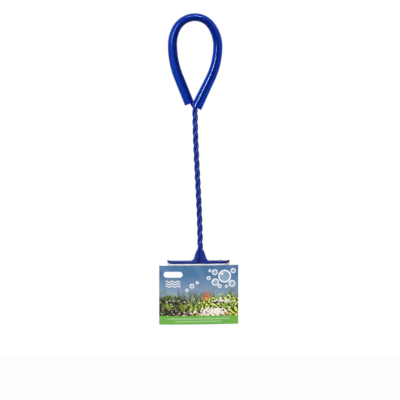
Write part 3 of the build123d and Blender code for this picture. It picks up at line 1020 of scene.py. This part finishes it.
def print_bed(picture):
    """Dark stones with moss on the left, and a bright carpet with patches of pale sand on the right."""
    coarse, fine, finest = mottling(6, 15), mottling(3, 7), mottling(2, 4)
    ground = soft(31 + 3 * np.sin(across_mm * 0.09 + 0.7) + 1.5 * coarse + fine - up_mm, 2.0)
    stones = soft(42 + 5 * np.sin(up_mm * 0.3) + 4 * coarse - across_mm, 5.0)
    lay(picture, "1c1619", ground)
    lay(picture, "6d5a58", ground * stones * soft(fine - 0.9, 0.5))
    lay(picture, "e0ccc8", 0.95 * ground * stones * soft(fine + 0.4 * finest - 1.6, 0.4))
    lay(picture, "6c8a2c", ground * stones * soft(finest + 0.6 * coarse - 1.0, 0.5))
    carpet = ground * (1 - stones)
    lay(picture, "4d661a", carpet)
    lay(picture, "bcd42e", carpet * soft(fine + 0.5 * finest - 0.1, 0.8))
    lay(picture, "f3f2a4", carpet * soft(finest + 0.5 * fine - 0.9, 0.6))
    lay(picture, "1f2c14", 0.9 * carpet * soft(-fine - 0.5 * finest - 0.6, 0.5))
    lay(picture, "b4662c", 0.8 * carpet * soft(17 - up_mm, 5.0) * soft(coarse - finest - 1.2, 0.5))
    sand = soft(1 - ((across_mm - 66) / 16) ** 2 - ((up_mm - 15.5) / 4.6) ** 2 + 0.45 * fine, 0.4)
    lay(picture, "fbf3e6", sand * ground)
    lay(picture, "d2bda6", 0.8 * sand * ground * soft(finest - 0.6, 0.6))
    pale = soft(1 - ((across_mm - 78) / 12) ** 2 - ((up_mm - 28) / 2.6) ** 2 + 0.5 * fine, 0.4)
    lay(picture, "f4f1e2", 0.9 * pale)
    hollow = np.abs(up_mm - 25.5 - 1.5 * np.sin(across_mm * 0.2))
    lay(picture, "2a2420", soft(0.9 - hollow + 0.6 * fine, 0.6) * pale)


def print_fan(picture, root, foot, count, length, tints):
    """A tuft of water grass: blades that bend out by the square of their height and taper to a point."""
    for number in range(count):
        bend = shake.uniform(-0.9, 0.9)
        tall = length * shake.uniform(0.6, 1.0) * (1 - 0.4 * abs(bend))
        wide = shake.uniform(0.35, 0.8)
        share = np.clip((up_mm - foot) / tall, 0, 1)
        middle = root + 0.6 * bend + bend * tall * (0.35 * share + 0.65 * share**2)
        cover = soft(wide * (1 - share**1.6) - np.abs(across_mm - middle), 0.4) * (share > 0) * (share < 1)
        lay(picture, tints[shake.integers(len(tints))], cover, 0.7 + 0.5 * share)


def print_oval(picture, code, x0, z0, wide, tall, tilt=0.0):
    """An oval leaf or pebble, turned by a tilt and lit from the upper left."""
    right, up = across_mm - x0, up_mm - z0
    along = (right * math.cos(tilt) + up * math.sin(tilt)) / wide
    square = (up * math.cos(tilt) - right * math.sin(tilt)) / tall
    lit = 0.8 + 0.4 * np.clip((up / tall - right / wide) * 0.6, -1, 1)
    lay(picture, code, soft(1 - along**2 - square**2, 0.5), lit)


def print_stems(picture):
    """Upright stems with pairs of red leaves that get smaller towards the top."""
    for stem in range(7):
        root, foot, tall = shake.uniform(50, 62), shake.uniform(20, 24), shake.uniform(13, 22)
        for share in np.linspace(0, 1, 9):
            for side in (-1, 1):
                size = 1.9 - share
                place = (root + side * size * 0.8 + 0.8 * math.sin(5 * share), foot + tall * share)
                red = stem_reds[shake.integers(len(stem_reds))]
                print_oval(picture, red, *place, size, 0.42 * size, side * 0.5)


def print_strewn(picture, count, across, up, sizes, tall, tilt, tints):
    """Ovals strewn over a stretch of the card, of random place, size, colour and tilt: tall is their height
    as a share of their width."""
    for number in range(count):
        place, size = (shake.uniform(*across), shake.uniform(*up)), shake.uniform(*sizes)
        code = tints[shake.integers(len(tints))]
        print_oval(picture, code, *place, size, tall * size, shake.uniform(-tilt, tilt))


def print_bubbles(picture):
    """Two groups of bubbles: a white rim, a pale fill and a bright spot at the upper left of each."""
    for x0, z0, size in bubbles:
        reach = np.hypot(across_mm - x0, up_mm - z0)
        lay(picture, "c9dcea", 0.35 * soft(size - reach, 0.4))
        lay(picture, "ffffff", 0.95 * soft(0.35 + 0.06 * size - np.abs(reach - size), 0.35))
        spot = np.hypot(across_mm - x0 + 0.42 * size, up_mm - z0 - 0.42 * size)
        lay(picture, "ffffff", 0.95 * soft(0.2 * size - spot, 0.4))


def print_tab(picture):
    """A bare white tab with round ends, and three broad white waves under it."""
    reach = np.hypot(np.maximum(np.abs(across_mm - 17) - 8, 0), up_mm - 61)
    lay(picture, "ffffff", soft(3.6 - reach, 0.35))
    for height in (52.5, 49.5, 46.5):
        wave = height + 0.8 * np.sin(across_mm * 0.9)
        run = soft(across_mm - 8, 0.6) * soft(26 - across_mm, 0.6)
        lay(picture, "ffffff", 0.95 * run * soft(0.55 - np.abs(up_mm - wave), 0.35))


def print_band(picture):
    """The plain green foot of the print, with two rows of fine white ripples."""
    lay(picture, band_green, soft(band_top - up_mm, 0.3))
    for height, start, end in ((6.9, 10, 86), (3.6, 20, 76)):
        ripple = height + 0.55 * np.sin(across_mm * 2.1)
        run = soft(across_mm - start, 2) * soft(end - across_mm, 2)
        lay(picture, "f2f7ea", 0.75 * run * soft(0.3 - np.abs(up_mm - ripple), 0.3))


print_face = print_water()
for root in np.linspace(4, 92, 14):
    print_fan(print_face, root, shake.uniform(22, 29), 9, 18, far_greens)
print_stems(print_face)
print_bed(print_face)
for root in (12, 30, 41, 49, 80, 90):
    print_fan(print_face, root, shake.uniform(13, 20), 16, 15, near_greens)
print_strewn(print_face, 15, (5, 40), (15, 29), (0.7, 1.7), 0.4, 0.9, leaf_tints)
print_strewn(print_face, 28, (18, 60), (band_top, 15.5), (0.8, 2.6), 0.65, 0.3, pebble_tints)
print_bubbles(print_face)
print_tab(print_face)
print_band(print_face)
print_face *= 1 + 0.05 * (shake.random(print_face.shape[:2])[..., None] - 0.5)

# The print ends under the fold, the board is bare behind it, and the inside is a greyer lining
print_end = face_rows + fold_rows + 1
card_ink = np.zeros((rows, card_columns, 4))
card_ink[..., :3] = colour("e9e7e1")
card_ink[:face_rows, :, :3] = print_face
card_ink[face_rows:print_end, :, :3] = colour(band_green)
card_ink[:print_end, :, 3] = 1.0
card_ink[len(outer):, :, :3] = colour("cdc8bf")

card_finish, card_shader, board_places = new_finish("coated_card", {"IOR": 1.18})
printed = board_places.node("Attribute", {}, "Color", attribute_name="print")
varnish = board_places.node("Attribute", {}, "Alpha", attribute_name="print")
fibre = grain(board_places, 1800.0, 4.0)
mottle = grain(board_places, 220.0, 3.0)
tint((fibre + mottle) * 0.015, printed, ink("8a857c")).into(card_shader.inputs["Base Color"])
(0.82 - varnish * 0.4 + mottle * 0.1).into(card_shader.inputs["Roughness"])
dent(card_shader, fibre, 0.12, 0.1 * MM)
card = new_piece("folded_card", card_places, card_faces, card_finish, sharp=50, print=card_ink)
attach(card, "card")
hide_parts("pack_card")


# Studio: a pale floor well below the hanging net, and white all round. A strip at the upper left in front and
# a panel above light the net, and two small windows near them only show as highlights. The camera is level
# with the frame and looks up a little, so that the frame is seen edge-on.
floor_height = -0.55
floor_half = 6.0
floor_glow, floor_share = 1.06, 0.85
fill_light = 0.55
aim = np.array([6.03, 0.0, -218.3]) * MM
lamp_aim = (0.0, 0.0, -0.1)
view_distance = 5.0
view_width = 489.4 * MM


def shown_rays(tone):
    """1 or more for a ray that shows the background: the camera's, a mirrored or a transmitted one."""
    kinds = ("Camera", "Glossy", "Transmission")
    camera, glossy, through = (tone.node("LightPath", {}, f"Is {kind} Ray") for kind in kinds)
    return camera + glossy + through


def turn_to(thing, place, target):
    """Put a lamp or the camera at a place, looking at a target with +Z up."""
    thing.location = place
    away = Vector(np.subtract(target, place).tolist())
    thing.rotation_euler = away.to_track_quat("-Z", "Y").to_euler()
    bpy.context.scene.collection.objects.link(thing)


def strip_lamp(name, place, wide, tall, glow, lights):
    """An area lamp whose face has the given glow, where 1 is as bright as white paper shows. One that lights
    shows no highlight, and one that doesn't is only seen as a highlight on glossy pieces."""
    lamp = bpy.data.lights.new(name, "AREA")
    lamp.shape = "RECTANGLE"
    lamp.size, lamp.size_y = wide, tall
    lamp.energy = glow * math.pi * wide * tall
    lamp_object = bpy.data.objects.new(name, lamp)
    lamp_object.visible_diffuse, lamp_object.visible_glossy = lights, not lights
    lamp_object.visible_transmission = False
    turn_to(lamp_object, place, lamp_aim)


floor_mesh = bpy.data.meshes.new("floor")
floor_mesh.from_pydata(
    [(x * floor_half, y * floor_half, floor_height) for x, y in ((-1, -1), (1, -1), (1, 1), (-1, 1))],
    [],
    [(0, 1, 2, 3)],
)
floor = bpy.data.objects.new("floor", floor_mesh)
bpy.context.scene.collection.objects.link(floor)
floor_finish, floor_shader, floor_places = new_finish(
    "pale_floor", {"Base Color": (0.86, 0.86, 0.86, 1.0), "Roughness": 0.9}
)
white_glow = floor_places.node("Emission", {"Color": (1, 1, 1, 1), "Strength": floor_glow})
paved = Tone(floor_finish.node_tree, floor_shader.outputs["BSDF"])
floor_look = floor_places.node(
    "MixShader", {0: shown_rays(floor_places) * floor_share, 1: paved, 2: white_glow}
)
floor_look.into(floor_finish.node_tree.nodes["Material Output"].inputs["Surface"])
floor_mesh.materials.append(floor_finish)

world = bpy.data.worlds.new("studio")
bpy.context.scene.world = world
world.use_nodes = True
sky = Tone(world.node_tree)
backdrop = world.node_tree.nodes["Background"]
shown = sky.node("Math", {0: shown_rays(sky), 1: 1.0}, operation="MINIMUM")
(shown * (1.0 - fill_light) + fill_light).into(backdrop.inputs["Strength"])
backdrop.inputs["Color"].default_value = (1, 1, 1, 1)

strip_lamp("left_strip", (-0.8, -0.78, 0.28), 0.16, 0.7, 18.0, True)
strip_lamp("top_panel", (0.05, -0.6, 0.95), 0.7, 0.4, 5.0, True)
strip_lamp("left_window", (-0.5, -1.02, 0.16), 0.06, 0.28, 330.0, False)
strip_lamp("top_window", (0.0, -0.8, 0.79), 0.6, 0.05, 240.0, False)

camera = bpy.data.cameras.new("camera")
camera.sensor_width = 36.0
eye = np.array([aim[0], -view_distance, bar_height])
camera.lens = camera.sensor_width * np.linalg.norm(aim - eye) / view_width
camera_object = bpy.data.objects.new("camera", camera)
turn_to(camera_object, eye, aim)
bpy.context.scene.camera = camera_object
bpy.context.scene.view_settings.view_transform = "Standard"
